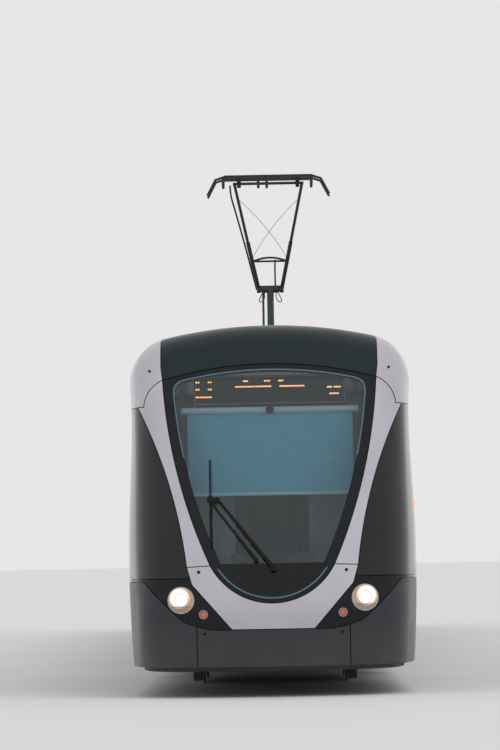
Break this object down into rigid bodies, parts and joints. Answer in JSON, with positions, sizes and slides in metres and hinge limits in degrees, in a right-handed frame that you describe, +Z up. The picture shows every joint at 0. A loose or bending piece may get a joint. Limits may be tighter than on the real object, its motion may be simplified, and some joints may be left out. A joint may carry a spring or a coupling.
{
  "type": "tram",
  "caption": "Low-floor articulated tram with rounded glazed cabs at both ends, plug doors, bogies, bellows between its sections and a raised pantograph on the centre roof.",
  "frame": {"origin": "centre of the tram in plan, at the level of the wheel flange tips", "axes": "+Z up, Y along the track with the front cab towards -Y, X across the tram"},
  "size_m": [2.6454, 32.5314, 6.1834],
  "materials": {
    "silver_paint": "satin",
    "dark_gloss_paint": "gloss",
    "grey_metallic_paint": "satin metallic",
    "body_paint": "satin",
    "roof_paint": "satin",
    "tinted_glass": "gloss",
    "clear_glass": "gloss",
    "black_cover": "gloss",
    "lamp": "gloss, lit",
    "underframe_steel": "matt",
    "bogie_steel": "matt",
    "wheel_steel": "turned",
    "seat_fabric": "woven",
    "cab_plastic": "matt",
    "bellows_rubber": "matt",
    "wiper_black": "matt",
    "pantograph_steel": "satin",
    "contact_carbon": "matt"
  },
  "bodies": {
    "centre": {"centre_walls": "body_paint", "centre_windows": "tinted_glass", "centre_roof": "roof_paint", "centre_underframe": "underframe_steel", "centre_seats": "seat_fabric", "centre_bogie": "bogie_steel", "pantograph_frame": "pantograph_steel"},
    "centre_wheelset_1": {"centre_wheelset_1": "wheel_steel"},
    "centre_wheelset_2": {"centre_wheelset_2": "wheel_steel"},
    "front_mid": {"mid_walls_front": "body_paint", "mid_windows_front": "tinted_glass", "mid_doors_front": "body_paint", "mid_roof_front": "roof_paint", "mid_underframe_front": "underframe_steel", "mid_seats_front": "seat_fabric", "bellows_front": "bellows_rubber"},
    "front_cab": {"walls_front": "body_paint", "windows_front": "tinted_glass", "lamp_covers_front": "black_cover", "lamps_front": "lamp", "mask_front": "silver_paint", "brow_front": "dark_gloss_paint", "windscreen_front": "clear_glass", "apron_front": "grey_metallic_paint", "doors_front": "body_paint", "roof_front": "roof_paint", "underframe_front": "underframe_steel", "cab_fittings_front": "cab_plastic", "seats_front": "seat_fabric", "bogie_front": "bogie_steel", "wiper_front": "wiper_black"},
    "front_wheelset_1": {"wheelset_1_front": "wheel_steel"},
    "front_wheelset_2": {"wheelset_2_front": "wheel_steel"},
    "rear_mid": {"mid_walls_rear": "body_paint", "mid_windows_rear": "tinted_glass", "mid_doors_rear": "body_paint", "mid_roof_rear": "roof_paint", "mid_underframe_rear": "underframe_steel", "mid_seats_rear": "seat_fabric", "bellows_rear": "bellows_rubber"},
    "rear_cab": {"walls_rear": "body_paint", "windows_rear": "tinted_glass", "lamp_covers_rear": "black_cover", "lamps_rear": "lamp", "mask_rear": "silver_paint", "brow_rear": "dark_gloss_paint", "windscreen_rear": "clear_glass", "apron_rear": "grey_metallic_paint", "doors_rear": "body_paint", "roof_rear": "roof_paint", "underframe_rear": "underframe_steel", "cab_fittings_rear": "cab_plastic", "seats_rear": "seat_fabric", "bogie_rear": "bogie_steel", "wiper_rear": "wiper_black"},
    "rear_wheelset_1": {"wheelset_1_rear": "wheel_steel"},
    "rear_wheelset_2": {"wheelset_2_rear": "wheel_steel"},
    "lower_arm": {"lower_arm": "pantograph_steel"},
    "upper_arm": {"upper_arm": "pantograph_steel"},
    "head": {"head": "contact_carbon"}
  },
  "joints": [
    {"name": "centre_wheelset_1_spin", "type": "hinge", "parent": "centre", "child": "centre_wheelset_1", "pos_m": [0, -0.8, 0.321], "axis": [1, 0, 0], "continuous": true},
    {"name": "centre_wheelset_2_spin", "type": "hinge", "parent": "centre", "child": "centre_wheelset_2", "pos_m": [0, 0.8, 0.321], "axis": [1, 0, 0], "continuous": true},
    {"name": "front_mid_pivot", "type": "hinge", "parent": "centre", "child": "front_mid", "pos_m": [0, -2.275, 0.226], "axis": [0, 0, 1], "range_deg": [-15, 15], "deforming": ["bellows_front"]},
    {"name": "front_cab_pivot", "type": "hinge", "parent": "front_mid", "child": "front_cab", "pos_m": [0, -8.625, 0.226], "axis": [0, 0, 1], "range_deg": [-15, 15], "deforming": ["bellows_front"]},
    {"name": "front_wheelset_1_spin", "type": "hinge", "parent": "front_cab", "child": "front_wheelset_1", "pos_m": [0, -11.8, 0.321], "axis": [1, 0, 0], "continuous": true},
    {"name": "front_wheelset_2_spin", "type": "hinge", "parent": "front_cab", "child": "front_wheelset_2", "pos_m": [0, -10.2, 0.321], "axis": [1, 0, 0], "continuous": true},
    {"name": "rear_mid_pivot", "type": "hinge", "parent": "centre", "child": "rear_mid", "pos_m": [0, 2.275, 0.226], "axis": [0, 0, 1], "range_deg": [-15, 15], "deforming": ["bellows_rear"]},
    {"name": "rear_cab_pivot", "type": "hinge", "parent": "rear_mid", "child": "rear_cab", "pos_m": [0, 8.625, 0.226], "axis": [0, 0, 1], "range_deg": [-15, 15], "deforming": ["bellows_rear"]},
    {"name": "rear_wheelset_1_spin", "type": "hinge", "parent": "rear_cab", "child": "rear_wheelset_1", "pos_m": [0, 11.8, 0.321], "axis": [1, 0, 0], "continuous": true},
    {"name": "rear_wheelset_2_spin", "type": "hinge", "parent": "rear_cab", "child": "rear_wheelset_2", "pos_m": [0, 10.2, 0.321], "axis": [1, 0, 0], "continuous": true},
    {"name": "pantograph_lift", "type": "hinge", "parent": "centre", "child": "lower_arm", "pos_m": [0, 0.1, 3.586], "axis": [1, 0, 0], "range_deg": [-46, 10]},
    {"name": "pantograph_knee", "type": "hinge", "parent": "lower_arm", "child": "upper_arm", "pos_m": [0, 0.91083, 4.7881], "axis": [1, 0, 0], "range_deg": [-19.6, 90.1]},
    {"name": "pantograph_head", "type": "hinge", "parent": "upper_arm", "child": "head", "pos_m": [0, -0.26015, 6.08861], "axis": [1, 0, 0], "range_deg": [-44.1, 9.6]}
  ],
  "couplings": [
    {"joint": "pantograph_knee", "follows": "pantograph_lift", "ratio": -1.957},
    {"joint": "pantograph_head", "follows": "pantograph_lift", "ratio": 0.957}
  ]
}
